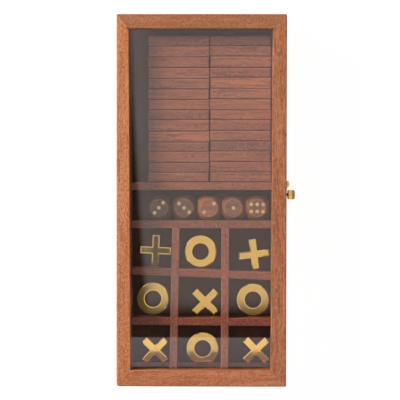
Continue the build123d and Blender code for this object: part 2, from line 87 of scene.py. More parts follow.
camera_data = bpy.data.cameras.new("camera")
camera_data.lens = 145.5
camera_data.sensor_width = 36
camera_data.shift_x = -0.0036
camera_data.shift_y = 0.0019
camera_data.clip_end = 20
camera = bpy.data.objects.new("camera", camera_data)
bpy.context.scene.collection.objects.link(camera)
axes = Matrix((turned_side, turned_up, backward)).transposed()
camera.matrix_world = Matrix.Translation(camera_place) @ axes.to_4x4()
bpy.context.scene.camera = camera
print("camera distance:", round((camera_place - camera_target).length, 3), "m")

# %% [markdown]
# ## Helpers for materials
#
# Colours are picked as sRGB hex values, the way a paint chart or a colour picker gives them,
# but Blender mixes light in linear values. One function turns one into the other. A second adds
# a node, sets its settings, and links or sets its sockets, so each material below reads as a
# list of what it is made of. A third starts an empty material.


# %% Colour and node helpers
def linear(hex_value):
    """An sRGB hex value, such as #BF7A53, as a linear colour with full alpha."""
    channels = [int(hex_value[start : start + 2], 16) / 255 for start in (1, 3, 5)]
    return (*[c / 12.92 if c <= 0.04045 else ((c + 0.055) / 1.055) ** 2.4 for c in channels], 1.0)


def add_node(tree, kind, sockets=None, **settings):
    """Adds a node. Sockets take a value, or the output that feeds them."""
    made = tree.nodes.new(kind)
    for setting, value in settings.items():
        setattr(made, setting, value)
    for socket, value in (sockets or {}).items():
        if isinstance(value, bpy.types.NodeSocket):
            tree.links.new(value, made.inputs[socket])
        else:
            made.inputs[socket].default_value = value
    return made


def new_material(name):
    """An empty node material, with the output that its shader goes to."""
    material = bpy.data.materials.new(name)
    material.use_nodes = True
    material.node_tree.nodes.clear()
    output = add_node(material.node_tree, "ShaderNodeOutputMaterial")
    return material, material.node_tree, output.inputs["Surface"]


MIX_FACTOR, MIX_A, MIX_B, MIX_RESULT = 0, 6, 7, 2
print("linear mid grey:", [round(c, 3) for c in linear("#808080")[:3]])

# %% [markdown]
# ## Hardwood
#
# The case is a warm red-brown tropical hardwood, planed and waxed. Four things make it look
# like wood and not like brown paint. Broad bands follow the grain, a few millimetres across and
# a hand long. Darker streaks, two millimetres wide and half a finger long, are vessels cut
# lengthwise. A short pale speckle is where the cut crosses the rays. Pores are the finest marks,
# and they also roughen the surface. Each is a noise texture, squeezed across the grain and
# stretched along it. Every board gets its own shift through the noise, so that no two look the
# same, and its own figure: how strong its streaks and its flecks are, and how long the flecks.


# %% Grain, masks and tints
def grain_noise(tree, place, grain, shift, across_mm, along_mm, **noise):
    """Noise whose streaks run along the grain and have this width and length."""
    along, across = 1 / (along_mm * MM), 1 / (across_mm * MM)
    scale = {"X": (along, across, across), "Y": (across, along, across)}[grain]
    sockets = {"Vector": place, "Scale": scale, "Location": shift}
    stretched = add_node(tree, "ShaderNodeMapping", sockets)
    sockets = {"Vector": stretched.outputs["Vector"], "Scale": 1.0, **noise}
    return add_node(tree, "ShaderNodeTexNoise", sockets).outputs["Fac"]


def sharpen(tree, value, low, high):
    """Spreads the range from low to high over 0 to 1, with soft ends."""
    sockets = {"Value": value, "From Min": low, "From Max": high}
    made = add_node(tree, "ShaderNodeMapRange", sockets, interpolation_type="SMOOTHSTEP")
    return made.outputs["Result"]


def calculate(tree, operation, first, second=0.0):
    """One step of arithmetic on two values, each a number or an output."""
    made = add_node(tree, "ShaderNodeMath", {0: first, 1: second}, operation=operation)
    return made.outputs["Value"]


def tint(tree, factor, below, above):
    """Mixes two colours, each a hex value or the output of another tint."""
    sockets = {
        MIX_FACTOR: factor,
        MIX_A: linear(below) if isinstance(below, str) else below,
        MIX_B: linear(above) if isinstance(above, str) else above,
    }
    return add_node(tree, "ShaderNodeMix", sockets, data_type="RGBA").outputs[MIX_RESULT]


def portion(tree, value, share):
    """Part of a mask's strength."""
    return calculate(tree, "MULTIPLY", value, share)


def object_place(tree):
    """The point that is being coloured, in metres, in the object's own frame."""
    return add_node(tree, "ShaderNodeTexCoord").outputs["Object"]


# %% The hardwood material
def hardwood(name, grain, shift, tones, figure=(1.0, 1.0, 1.0), gloss=0.45, extra=None):
    """Planed and waxed hardwood. Tones are its deep, middle, pale and speckle colours.

    Figure is how strong the long streaks are, how strong the flecks and pores are, and how long
    those are, each compared with an ordinary board. Gloss is the roughness between the pores.
    """
    deep, middle, pale, speckle_tone = tones
    streak_share, fleck_share, fleck_length = figure
    material, tree, surface = new_material(name)
    place = object_place(tree)
    if callable(middle):
        middle, pale = middle(tree, place)

    def marks(across_mm, along_mm, offset=shift, **noise):
        return grain_noise(tree, place, grain, offset, across_mm, along_mm, **noise)

    bands = marks(5.5, 80, Detail=3.0, Distortion=0.6)
    streaks = marks(1.8, 26, Detail=2.0, Distortion=0.8)
    speckle = marks(1.2, 3.6 * fleck_length, shift[::-1], Detail=1.5)
    pores = marks(0.8, 6 * fleck_length, Detail=2.0)
    pore_mask = sharpen(tree, pores, 0.5, 0.66)
    colour = tint(tree, sharpen(tree, bands, 0.38, 0.64), middle, pale)
    mask = portion(tree, sharpen(tree, streaks, 0.47, 0.64), 0.58 * streak_share)
    colour = tint(tree, mask, colour, deep)
    mask = portion(tree, sharpen(tree, speckle, 0.47, 0.64), 0.28 * fleck_share)
    colour = tint(tree, mask, colour, speckle_tone)
    colour = tint(tree, portion(tree, pore_mask, 0.4 * fleck_share), colour, deep)
    if extra:
        colour = extra(tree, place, colour)
    sockets = {"Value": pore_mask, "To Min": gloss, "To Max": gloss + 0.18}
    rough = add_node(tree, "ShaderNodeMapRange", sockets).outputs["Result"]
    relief = calculate(tree, "SUBTRACT", 1.0, pore_mask)
    sockets = {"Strength": 0.3, "Distance": 0.08 * MM, "Height": relief}
    bump = add_node(tree, "ShaderNodeBump", sockets).outputs["Normal"]
    sockets = {"Base Color": colour, "Roughness": rough, "IOR": 1.5, "Normal": bump}
    shader = add_node(tree, "ShaderNodeBsdfPrincipled", sockets)
    tree.links.new(shader.outputs["BSDF"], surface)
    return material


def dress(node, material):
    """Gives a CAD node its finished material, in every slot that it has."""
    for place in nodes[node].material_slots:
        place.material = material
    if not nodes[node].material_slots:
        nodes[node].data.materials.append(material)


# %% [markdown]
# ## The case and the lid frame
#
# The four lid rails were sawn from different boards, and it shows: the left one is pale and
# orange, the other three are redder, and the flecks are longest on the right one. The walls
# below are the same stock. The grain always runs along the board, so it turns the corner at
# each mitre. Three of the walls get painted shade on their inner faces, and two of them also on
# the narrow ledge above, where the lid rail stands back. A mask finds them by place: it is full
# inside the cavity's outline, or a little beyond it for the ledge, and nothing farther out.

# %% Painted shade on the inner faces
# In millimetres from the middle of the box
cavity_half_width, cavity_half_length = 56.9, 138.4


def painted_inner_shade(ledge_mm, brightness):
    """Painted shade: darkens what lies within the cavity's outline and a ledge of this width."""

    def darken(tree, place, colour):
        square = add_node(tree, "ShaderNodeVectorMath", {0: place}, operation="ABSOLUTE")
        sides = add_node(tree, "ShaderNodeSeparateXYZ", {"Vector": square.outputs["Vector"]})
        masks = []
        for axis, half in (("X", cavity_half_width), ("Y", cavity_half_length)):
            reach = half + ledge_mm
            value = sides.outputs[axis]
            masks.append(sharpen(tree, value, (reach + 0.35) * MM, (reach + 0.05) * MM))
        inside = calculate(tree, "MULTIPLY", *masks)
        sockets = {"Fac": inside, "Saturation": 1.1, "Value": brightness, "Color": colour}
        return add_node(tree, "ShaderNodeHueSaturation", sockets).outputs["Color"]

    return darken


# Painted shade on the inner faces of three walls: how far past the cavity it reaches, and how dark.
inner_face_shade = {
    "left": painted_inner_shade(1.8, 0.32),
    "far": painted_inner_shade(0.6, 0.5),
    "near": painted_inner_shade(0.0, 0.75),
}


# %% Dress the rails and walls
rail_tones = {
    "left": ("#9A532B", "#BC7042", "#C88154", "#D4966A"),
    "far": ("#844727", "#A0623E", "#AE6E4D", "#B88060"),
    "right": ("#8A4829", "#AA6641", "#B87550", "#C38866"),
    "near": ("#954E2B", "#B26842", "#C07651", "#CB8B65"),
}
rail_figures = {
    "left": (1.2, 2.3, 0.4),
    "far": (0.8, 2.3, 0.25),
    "right": (1.4, 1.8, 0.8),
    "near": (1.2, 1.8, 0.45),
}
for number, (side, tones) in enumerate(rail_tones.items()):
    figure = rail_figures[side]
    grain = "Y" if side in ("left", "right") else "X"
    shift = (3.7 * number, 1.9 + 5.3 * number, 2.2 * number)
    wood = hardwood(f"waxed hardwood, {side} rail", grain, shift, tones, figure)
    dress(f"lid_rail_{side}", wood)
    shift = (9.1 + 2.7 * number, 4.4 * number, 6.1)
    # The wall's inner face and ledge get the painted shade.
    inner = inner_face_shade.get(side)
    wood = hardwood(f"waxed hardwood, {side} wall", grain, shift, tones, figure, extra=inner)
    dress(f"wall_{side}", wood)
print("dressed", 2 * len(rail_tones), "boards")

# %% [markdown]
# ## Dividers and bottom panel
#
# The slats are darker heartwood of the same tree. Their upper arrises are paler: a mask made
# from the height is full just below the slat tops, and nothing anywhere else. The panel under
# the box is a plain sawn board, bare and pale. The felt stops a little short of the near wall,
# so a strip of it shows there.

# %% Dress the dividers and the bottom panel
slat_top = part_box("dice_divider")[1].z / MM


def pale_arris(tree, place, colour):
    """Paler arrises just below the slat tops."""
    height = add_node(tree, "ShaderNodeSeparateXYZ", {"Vector": place}).outputs["Z"]
    above_side = sharpen(tree, height, (slat_top - 0.6) * MM, (slat_top - 0.4) * MM)
    below_top = sharpen(tree, height, (slat_top - 0.01) * MM, (slat_top - 0.06) * MM)
    wear_and_highlight = calculate(tree, "MULTIPLY", above_side, below_top)
    return tint(tree, portion(tree, wear_and_highlight, 0.55), colour, "#B8846C")


slat_tones = {
    "domino_divider": ("#723B29", "#944F36", "#A25A3F", "#B6735A"),
    "dice_divider": ("#643423", "#834630", "#905038", "#A36852"),
    "grid_slat_upper": ("#6A3322", "#8B442C", "#994E34", "#AC674E"),
    "grid_slat_lower": ("#662E1F", "#8A3F2A", "#974932", "#AA6149"),
    "grid_slat_left": ("#6E3B2A", "#8F4F38", "#9B5A43", "#AE725C"),
    "grid_slat_right": ("#733C2A", "#975038", "#A45B42", "#B6745B"),
}
slat_figure = (0.9, 2.2, 0.4)
for number, (name, tones) in enumerate(slat_tones.items()):
    grain = "Y" if name in ("grid_slat_left", "grid_slat_right") else "X"
    shift = (7.3 * number, 2.9 * number, 11.0)
    wood_name = f"dark heartwood, {name.replace('_', ' ')}"
    dress(name, hardwood(wood_name, grain, shift, tones, slat_figure, 0.5, pale_arris))

panel_tones = ("#8E5838", "#B8784F", "#C6865C", "#D69A70")
panel_shift = (31, 7, 3)
dress("bottom_panel", hardwood("sawn panel board", "Y", panel_shift, panel_tones, gloss=0.6))
print("slat tops at", round(slat_top, 2), "mm")

# %% [markdown]
# ## Felt
#
# The floor of the case is lined with dark brown felt: pressed wool with no weave, only a soft
# mottle and a fine fuzz, fully matt. The single hairs are too fine to show, so the fuzz is drawn
# 0.7 mm wide.


# %% The felt lining
def wool_felt():
    """Pressed wool felt: matt, mottled, with a fine fuzz."""
    material, tree, surface = new_material("brown wool felt")
    place = object_place(tree)
    sockets = {"Vector": place, "Scale": 1 / (9 * MM), "Detail": 3.0}
    mottle = add_node(tree, "ShaderNodeTexNoise", sockets).outputs["Fac"]
    sockets = {"Vector": place, "Scale": 1 / (0.7 * MM), "Detail": 3.0, "Roughness": 0.7}
    fuzz = add_node(tree, "ShaderNodeTexNoise", sockets).outputs["Fac"]
    colour = tint(tree, sharpen(tree, mottle, 0.35, 0.7), "#4C2B20", "#5E362A")
    colour = tint(tree, portion(tree, sharpen(tree, fuzz, 0.5, 0.75), 0.3), colour, "#755040")
    bump = add_node(tree, "ShaderNodeBump", {"Strength": 0.5, "Distance": 0.2 * MM, "Height": fuzz})
    sockets = {
        "Base Color": colour,
        "Roughness": 0.95,
        "Specular IOR Level": 0.2,
        "Sheen Weight": 0.15,
        "Sheen Roughness": 0.5,
        "Normal": bump.outputs["Normal"],
    }
    shader = add_node(tree, "ShaderNodeBsdfPrincipled", sockets)
    tree.links.new(shader.outputs["BSDF"], surface)
    return material


dress("floor_lining", wool_felt())

# %% [markdown]
# ## Window glass
#
# A flat pane bends light so little that refraction only costs noise. Instead, each face lets
# light through and mirrors a small share of it: 4% seen straight on, and far more at a glancing
# angle. The Fresnel node gives that share, but on the way out of a pane that doesn't bend light
# it would mirror far too much. So the share is worked out here from how far the face is turned
# away, by Schlick's rule, which is the same for both faces. The two together give the milky
# reflection of the studio that lies over the box's contents.


# %% The pane
straight_on_share = 0.04


def window_glass():
    """A clear pane: straight through, with a mirror share by angle."""
    material, tree, surface = new_material("window glass")
    turned = add_node(tree, "ShaderNodeLayerWeight", {"Blend": 0.5}).outputs["Facing"]
    power = calculate(tree, "POWER", turned, 5.0)
    share = add_node(tree, "ShaderNodeMapRange", {"Value": power, "To Min": straight_on_share})
    clear = add_node(tree, "ShaderNodeBsdfTransparent", {"Color": linear("#FCFDFD")})
    mirror = add_node(tree, "ShaderNodeBsdfGlossy", {"Color": (1, 1, 1, 1), "Roughness": 0.0})
    sockets = {0: share.outputs["Result"], 1: clear.outputs["BSDF"], 2: mirror.outputs["BSDF"]}
    mixed = add_node(tree, "ShaderNodeMixShader", sockets)
    tree.links.new(mixed.outputs["Shader"], surface)
    return material


dress("lid_glass", window_glass())
glass_low, glass_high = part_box("lid_glass")
print("pane:", round((glass_high.z - glass_low.z) / MM, 1), "mm thick")

# %% [markdown]
# ## Brass
#
# Brass is an alloy of copper and zinc. The noughts and crosses were cast, machined and buffed,
# so they mirror the room, with a faint tarnish that mottles the colour and dulls the mirror in
# places. Two of the crosses get a brighter copy of the brass, a painted highlight that makes
# them the brightest; two of the noughts have gone duller, and blur what they mirror. The latch
# and the hinges have been handled more: they are browner and rougher, and the turned knob has
# shade painted on at its foot and round its end. A metal takes its colour from its
# reflections, so the base colour is that of a clean mirror of it.


# %% The brass materials
def brass(name, clean, tarnished, polish, dull, mottle_mm=3.0, tarnish=0.5, extra=None):
    """Brass from a clean colour to a tarnished one, with a roughness for each."""
    material, tree, surface = new_material(name)
    place = object_place(tree)
    sockets = {"Vector": place, "Scale": 1 / (mottle_mm * MM), "Detail": 4.0, "Roughness": 0.6}
    mottle = add_node(tree, "ShaderNodeTexNoise", sockets).outputs["Fac"]
    stain = sharpen(tree, mottle, 0.42, 0.78)
    colour = tint(tree, portion(tree, stain, tarnish), clean, tarnished)
    if extra:
        colour = extra(tree, place, colour)
    sockets = {"Value": stain, "To Min": polish, "To Max": dull}
    rough = add_node(tree, "ShaderNodeMapRange", sockets).outputs["Result"]
    sockets = {"Vector": place, "Scale": 1 / (0.35 * MM), "Detail": 2.0}
    scratches = add_node(tree, "ShaderNodeTexNoise", sockets).outputs["Fac"]
    sockets = {"Strength": 0.02, "Distance": 0.02 * MM, "Height": scratches}
    bump = add_node(tree, "ShaderNodeBump", sockets).outputs["Normal"]
    sockets = {"Base Color": colour, "Metallic": 1.0, "Roughness": rough, "Normal": bump}
    shader = add_node(tree, "ShaderNodeBsdfPrincipled", sockets)
    tree.links.new(shader.outputs["BSDF"], surface)
    return material


knob_length = 6.05 * MM
knob_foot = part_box("latch_stud")[1].x - knob_length


def knob_painted_shade(tree, place, colour):
    """Painted shade: the knob is darkened at its foot, by the wall, and round its end."""
    outwards = add_node(tree, "ShaderNodeSeparateXYZ", {"Vector": place}).outputs["X"]
    foot = sharpen(tree, outwards, knob_foot + 1.1 * MM, knob_foot + 0.7 * MM)
    colour = tint(tree, portion(tree, foot, 0.85), colour, "#5E3208")
    end = sharpen(tree, outwards, knob_foot + 3.4 * MM, knob_foot + 3.9 * MM)
    return tint(tree, portion(tree, end, 0.8), colour, "#7E5A2C")


polished_brass = brass("buffed cast brass", "#E0BC68", "#D4AB60", 0.02, 0.06)
# A brighter copy of the buffed brass: a painted highlight for two of the crosses.
painted_bright_brass = brass("cast brass, painted brighter", "#FCD06C", "#EFC066", 0.02, 0.06)
dulled_brass = brass("dulled cast brass", "#E4BF6E", "#D8AF66", 0.06, 0.07)
fitting_brass = brass("handled brass", "#D9AE62", "#8C6E38", 0.2, 0.4, 2.0, 0.7)
knob_brass = brass("turned brass", "#E2B66C", "#8C6E38", 0.2, 0.4, 2.0, 0.5, knob_painted_shade)
inlay_brass = brass("rubbed brass inlay", "#D8BA8A", "#A5825C", 0.22, 0.4, 2.5, 0.7)
for name in nodes:
    if name.startswith(("hinge_", "latch_")):
        dress(name, knob_brass if name == "latch_stud" else fitting_brass)
    if name.endswith("_pips"):
        dress(name, inlay_brass)

# %% [markdown]
# ## Modelling by hand
#
# The noughts and crosses are modelled again with Blender's own operators, as they would be in
# the window. An operator works on whatever is selected, and loading the CAD model left its nodes
# selected. So each piece starts by clearing the selection, and its faces and edges are then
# picked in code, by place.


# %% Modelling helpers
def start_piece():
    """Leaves nothing selected, so that the next operator works on its own primitive alone."""
    bpy.ops.object.select_all(action="DESELECT")


def pick(kind, test):
    """In edit mode, selects the vertices, edges or faces for which the test is true."""
    piece = bpy.context.object
    bpy.ops.mesh.select_mode(type=kind)
    bpy.ops.mesh.select_all(action="DESELECT")
    bpy.ops.object.mode_set(mode="OBJECT")
    mesh = piece.data
    items = {"VERT": mesh.vertices, "EDGE": mesh.edges, "FACE": mesh.polygons}[kind]
    picked = 0
    for item in items:
        item.select = bool(test(item))
        picked += item.select
    bpy.ops.object.mode_set(mode="EDIT")
    return picked


def edge_middle(edge):
    """The middle of an edge of the active piece."""
    vertices = bpy.context.object.data.vertices
    return (vertices[edge.vertices[0]].co + vertices[edge.vertices[1]].co) / 2


def sizes_mm(piece):
    """A piece's width, depth and height in millimetres."""
    return [round(size / MM, 2) for size in piece.dimensions]


# %% Finishing helpers
def clean_up():
    """Merges the active piece's doubled points and turns every face outwards."""
    bpy.ops.object.mode_set(mode="EDIT")
    bpy.ops.mesh.select_all(action="SELECT")
    bpy.ops.mesh.remove_doubles(threshold=0.00001)
    bpy.ops.mesh.normals_make_consistent(inside=False)
    bpy.ops.object.mode_set(mode="OBJECT")
    bpy.ops.object.transform_apply(location=True, rotation=True, scale=True)


def level_shading(piece):
    """Smooths the small rounded edges, and keeps every flat face flat to a mirror's eye."""
    bpy.ops.object.shade_smooth_by_angle(angle=math.radians(16))
    levelling = piece.modifiers.new("level faces", "WEIGHTED_NORMAL")
    levelling.mode = "FACE_AREA"
    levelling.weight = 90
    levelling.keep_sharp = True
    bpy.ops.object.modifier_apply(modifier=levelling.name)


def soften(piece, width, segments):
    """Rounds the sharp edges with a bevel modifier and applies it."""
    rounding = piece.modifiers.new("softened edges", "BEVEL")
    rounding.width = width
    rounding.segments = segments
    rounding.limit_method = "ANGLE"
    rounding.angle_limit = math.radians(35)
    bpy.ops.object.modifier_apply(modifier=rounding.name)


def copy_piece(master, name):
    """A copy with its own mesh."""
    copy = master.copy()
    copy.data = master.data.copy()
    copy.name = name
    copy.data.name = name
    bpy.context.scene.collection.objects.link(copy)
    return copy


def set_down(piece, place, turn=0.0, lean=(0.0, 0.0)):
    """Moves a piece's mesh to its place. Turn and lean are in degrees; the object stays put."""
    move = Matrix.Translation(place)
    move @= Matrix.Rotation(math.radians(lean[0]), 4, "X")
    move @= Matrix.Rotation(math.radians(lean[1]), 4, "Y")
    move @= Matrix.Rotation(math.radians(turn), 4, "Z")
    piece.data.transform(move)
    piece.data.update()


# %% [markdown]
# ## The crosses
#
# A cross starts as a cube, its hub. The four side faces are extruded one by one, each along its
# own normal, which grows the four arms. The top is then inset and raised a little, because the
# real ones have a shallow chamfer all round: that slope mirrors another part of the room than
# the flat does, and shows as a thin bright rim. The outer edges are softened, since a buffed
# casting has no sharp ones, but the line between flat and chamfer is marked sharp, or the
# shading would blend the two mirrors into one bulge.

# %% Keep a flat top crisp
def crisp_top():
    """Marks the outline of the active piece's flat top as sharp."""
    bpy.ops.object.mode_set(mode="EDIT")
    pick("FACE", lambda face: face.normal.z > 0.999)
    bpy.ops.mesh.region_to_loop()
    bpy.ops.mesh.mark_sharp()
    bpy.ops.object.mode_set(mode="OBJECT")


# %% Model one cross
cross_span, cross_arm, token_height = 25.4 * MM, 6.0 * MM, 6.0 * MM
rim_width, rim_drop = 0.9 * MM, 0.14 * MM
edge_rounding = 0.22 * MM
near_enough = 0.01 * MM

start_piece()
body_height = token_height - rim_drop
bpy.ops.mesh.primitive_cube_add(
    size=1, scale=(cross_arm, cross_arm, body_height), location=(0, 0, -rim_drop / 2)
)
cross_master = bpy.context.object
bpy.ops.object.transform_apply(location=True, rotation=False, scale=True)
bpy.ops.object.mode_set(mode="EDIT")
sides = pick("FACE", lambda face: abs(face.normal.z) < 0.5)
bpy.ops.mesh.extrude_faces_move(
    TRANSFORM_OT_shrink_fatten={"value": (cross_span - cross_arm) / 2}
)
tops = pick("FACE", lambda face: face.normal.z > 0.9)
bpy.ops.mesh.inset(thickness=rim_width, depth=rim_drop, use_even_offset=True)
bpy.ops.object.mode_set(mode="OBJECT")
clean_up()
soften(cross_master, edge_rounding, 6)
crisp_top()
level_shading(cross_master)
print("cross:", sides, "arms,", tops, "faces on top, size", sizes_mm(cross_master))

# %% [markdown]
# ## The noughts
#
# A nought is turned, so it is modelled as on a lathe. Half of its section is drawn: a rectangle,
# whose top edge is extruded upwards and drawn in from both sides to make the two chamfers. Then
# it spins round the axis and sweeps the whole ring.

# %% Model one nought
ring_radius, ring_hole = 13.4 * MM, 6.75 * MM
band = ring_radius - ring_hole
middle_radius = (ring_radius + ring_hole) / 2

start_piece()
bpy.ops.mesh.primitive_plane_add(size=1)
ring_master = bpy.context.object
bpy.ops.object.mode_set(mode="EDIT")
bpy.ops.mesh.select_all(action="SELECT")
bpy.ops.transform.resize(value=(band, body_height, 1), center_override=(0, 0, 0))
bpy.ops.transform.rotate(value=math.radians(90), orient_axis="X", center_override=(0, 0, 0))
bpy.ops.transform.translate(value=(middle_radius, 0, -rim_drop / 2))
pick("EDGE", lambda edge: edge_middle(edge).z > body_height / 2 - 0.5 * MM)
bpy.ops.mesh.extrude_region_move(TRANSFORM_OT_translate={"value": (0, 0, rim_drop)})
bpy.ops.transform.resize(
    value=(1 - 2 * rim_width / band, 1, 1), center_override=(middle_radius, 0, 0)
)
pick("EDGE", lambda edge: abs(edge_middle(edge).z - (token_height / 2 - rim_drop)) < near_enough)
bpy.ops.mesh.dissolve_edges(use_verts=False)
corners = pick(
    "VERT", lambda vertex: abs(abs(vertex.co.x - middle_radius) - band / 2) < near_enough
)
bpy.ops.mesh.bevel(offset=edge_rounding, segments=5, affect="VERTICES", clamp_overlap=False)
bpy.ops.mesh.select_all(action="SELECT")
bpy.ops.mesh.delete(type="ONLY_FACE")
bpy.ops.mesh.select_all(action="SELECT")
bpy.ops.mesh.spin(steps=96, angle=math.tau, center=(0, 0, 0), axis=(0, 0, 1))
bpy.ops.object.mode_set(mode="OBJECT")
clean_up()
crisp_top()
level_shading(ring_master)
print("nought:", corners, "rounded corners, size", sizes_mm(ring_master))

# %% [markdown]
# ## Laying the noughts and crosses in their cells
#
# A mirror shows its tilt more than its shape. On felt, most pieces lean by a fraction of a
# degree, too little to see in the piece but enough to move the studio's reflection across its
# face by a finger's width. That is why some faces are bright and others half dark.

# %% Lay the pieces in their cells
cross_turns = {"cross_1": -2.5, "cross_2": 7.0, "cross_3": 45.0, "cross_4": 46.0, "cross_5": 44.0}
token_leans = {
    "cross_1": (0.0, -0.93),
    "cross_2": (0.0, 0.0),
    "cross_3": (-0.5, 0.0),
    "cross_4": (0.36, 0.0),
    "cross_5": (0.36, 0.0),
    "ring_1": (0.0, 0.0),
    "ring_2": (0.0, -0.13),
    "ring_3": (0.02, -0.16),
    "ring_4": (0.36, 0.0),
}
# Two crosses take the brighter copy of the brass, a painted highlight; two noughts take the rougher
# one.
token_finishes = {
    "cross_4": painted_bright_brass,
    "cross_5": painted_bright_brass,
    "ring_2": dulled_brass,
    "ring_3": dulled_brass,
}
for name, lean in token_leans.items():
    low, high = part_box(name)
    master = cross_master if name.startswith("cross") else ring_master
    token = copy_piece(master, f"brass_{name}")
    set_down(token, (low + high) / 2, cross_turns.get(name, 0.0), lean)
    token.data.materials.append(token_finishes.get(name, polished_brass))
    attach(token, name)
    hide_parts(name)
for master in (cross_master, ring_master):
    bpy.data.objects.remove(master)
print("laid", len(token_leans), "pieces")

# %% [markdown]
# ## Dice
#
# The dice are offcuts of the same hardwood. Each is a cube whose corners were turned off on a
# sphere, which leaves a round flat on every side. The rim of each flat is painted pale: wear
# from handling, and a painted highlight where the crisp edge catches the light. The rim is the
# only place that is both at the sphere's radius and at the cube's half width, so the product of
# those two masks is the pale rim.

# %% Dress the dice
die_size, die_ball = 19.0, 12.0
die_figure = (0.9, 1.8, 0.4)
die_turns = {"die_1": 5.0, "die_2": 95.0, "die_3": -4.0, "die_4": 0.0, "die_5": -1.0}
die_tones = {
    "die_1": ("#503421", "#774E33", "#86593C", "#9F704C"),
    "die_2": ("#4C2D20", "#6E412D", "#7A4934", "#905E44"),
    "die_3": ("#6A3A23", "#965435", "#A35F3B", "#B8784F"),
    "die_4": ("#5C3221", "#814931", "#8E5338", "#A46949"),
    "die_5": ("#5A321F", "#7C472D", "#885134", "#9C6743"),
}


def rim_wear_and_highlight(name):
    """Pale rims on a die's flats: wear, and a painted highlight along the crisp edge."""
    low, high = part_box(name)

    def worn_and_lit_rim(tree, place, colour):
        sockets = {"Vector": place, "Location": -(low + high) / 2}
        centred = add_node(tree, "ShaderNodeMapping", sockets, vector_type="POINT")
        sockets = {"Vector": centred.outputs["Vector"], "Angle": math.radians(-die_turns[name])}
        turned = add_node(tree, "ShaderNodeVectorRotate", sockets, rotation_type="Z_AXIS")
        square = add_node(
            tree, "ShaderNodeVectorMath", {0: turned.outputs["Vector"]}, operation="ABSOLUTE"
        )
        sides = add_node(tree, "ShaderNodeSeparateXYZ", {"Vector": square.outputs["Vector"]})
        widest = calculate(tree, "MAXIMUM", sides.outputs["X"], sides.outputs["Y"])
        widest = calculate(tree, "MAXIMUM", widest, sides.outputs["Z"])
        radius = add_node(
            tree, "ShaderNodeVectorMath", {0: turned.outputs["Vector"]}, operation="LENGTH"
        )
        on_flat = sharpen(tree, widest, (die_size / 2 - 0.5) * MM, (die_size / 2 - 0.1) * MM)
        on_ball = sharpen(
            tree, radius.outputs["Value"], (die_ball - 0.45) * MM, (die_ball - 0.1) * MM
        )
        # The pale rim is wear, and a painted highlight of the crisp edge.
        wear_and_highlight = calculate(tree, "MULTIPLY", on_flat, on_ball)
        return tint(tree, portion(tree, wear_and_highlight, 0.18), colour, "#D2A482")

    return worn_and_lit_rim


for number, (name, tones) in enumerate(die_tones.items()):
    shift = (4.1 * number, 17.0, 3.3 * number)
    wood_name = f"turned hardwood, {name.replace('_', ' ')}"
    dress(name, hardwood(wood_name, "X", shift, tones, die_figure, 0.24, rim_wear_and_highlight(name)))
print("dressed", len(die_tones), "dice")

# %% [markdown]
# ## Dominoes
#
# The tiles are sawn from many boards, so neighbours differ in tone. All tiles of a column are
# one node, so the tone has to come from the place: a colour ramp with hard steps, laid along
# the column, gives each tile its board. Its steps fall in the gaps between the tiles.

# %% Dress the dominoes
column_far_y = 133.3
tile_depths = {
    "left": (8.2, 8.8, 8.7, 8.7, 8.6, 8.5, 8.4, 7.9, 9.4, 8.8, 7.7, 8.9, 8.0, 7.7),
    "right": (7.8, 8.5, 9.1, 8.0, 9.0, 8.5, 9.1, 7.7, 8.8, 8.6, 8.2, 8.7, 8.3, 8.0),
}
board_tones = {
    "pale": "#B4643F",
    "warm": "#A0563A",
    "middle": "#944F37",
    "dull": "#844633",
    "grey": "#703E33",
}
tile_boards = {
    "left": (
        "middle", "warm", "middle", "warm", "middle", "middle", "warm",
        "dull", "warm", "pale", "dull", "warm", "dull", "middle",
    ),
    "right": (
        "middle", "middle", "warm", "middle", "pale", "warm", "warm",
        "warm", "middle", "middle", "grey", "middle", "middle", "middle",
    ),
}


def column_steps(tree, place, side, steps, shift_mm=0.0):
    """A colour that changes in hard steps along a column. Steps are pairs: millimetres, colour."""
    length = sum(tile_depths[side])
    along = add_node(tree, "ShaderNodeSeparateXYZ", {"Vector": place}).outputs["Y"]
    near_y = column_far_y - length + shift_mm
    far_y = column_far_y + shift_mm
    sockets = {"Value": along, "From Min": near_y * MM, "From Max": far_y * MM}
    share = add_node(tree, "ShaderNodeMapRange", sockets).outputs["Result"]
    node = add_node(tree, "ShaderNodeValToRGB", {"Fac": share})
    ramp = node.color_ramp
    ramp.interpolation = "CONSTANT"
    ramp.elements.remove(ramp.elements[1])
    ramp.elements[0].position = 0.0
    ramp.elements[0].color = steps[0][1]
    for start, colour in steps[1:]:
        ramp.elements.new(start / length).color = colour
    return node


def tile_tone(side):
    """The tone of each tile of a column, by its place along the column."""
    depths, boards = tile_depths[side][::-1], tile_boards[side][::-1]
    steps = [
        (sum(depths[:count]), linear(board_tones[board])) for count, board in enumerate(boards)
    ]

    def tone(tree, place):
        node = column_steps(tree, place, side, steps)
        pale = add_node(
            tree,
            "ShaderNodeHueSaturation",
            {"Hue": 0.51, "Value": 1.2, "Color": node.outputs["Color"]},
        )
        return node.outputs["Color"], pale.outputs["Color"]

    return tone


def painted_gap_lines(side):
    """Painted shade in dark lines where the tiles meet, and a painted highlight in a pale one
    beside each, on the far arris.
    """
    depths = tile_depths[side][::-1]
    black, white = (0, 0, 0, 1), (1, 1, 1, 1)
    steps = [(0, black)]
    for count in range(1, len(depths)):
        gap = sum(depths[:count])
        steps += [(gap - 0.5, white), (gap + 0.2, black)]

    def arrises(tree, place, colour):
        # The pale line is a painted highlight, the dark line painted shade over the gap.
        wear_and_highlight = column_steps(tree, place, side, steps, -0.75).outputs["Color"]
        colour = tint(tree, portion(tree, wear_and_highlight, 0.3), colour, "#C98E6E")
        gap_shade = column_steps(tree, place, side, steps).outputs["Color"]
        return tint(tree, portion(tree, gap_shade, 0.6), colour, "#35201A")

    return arrises


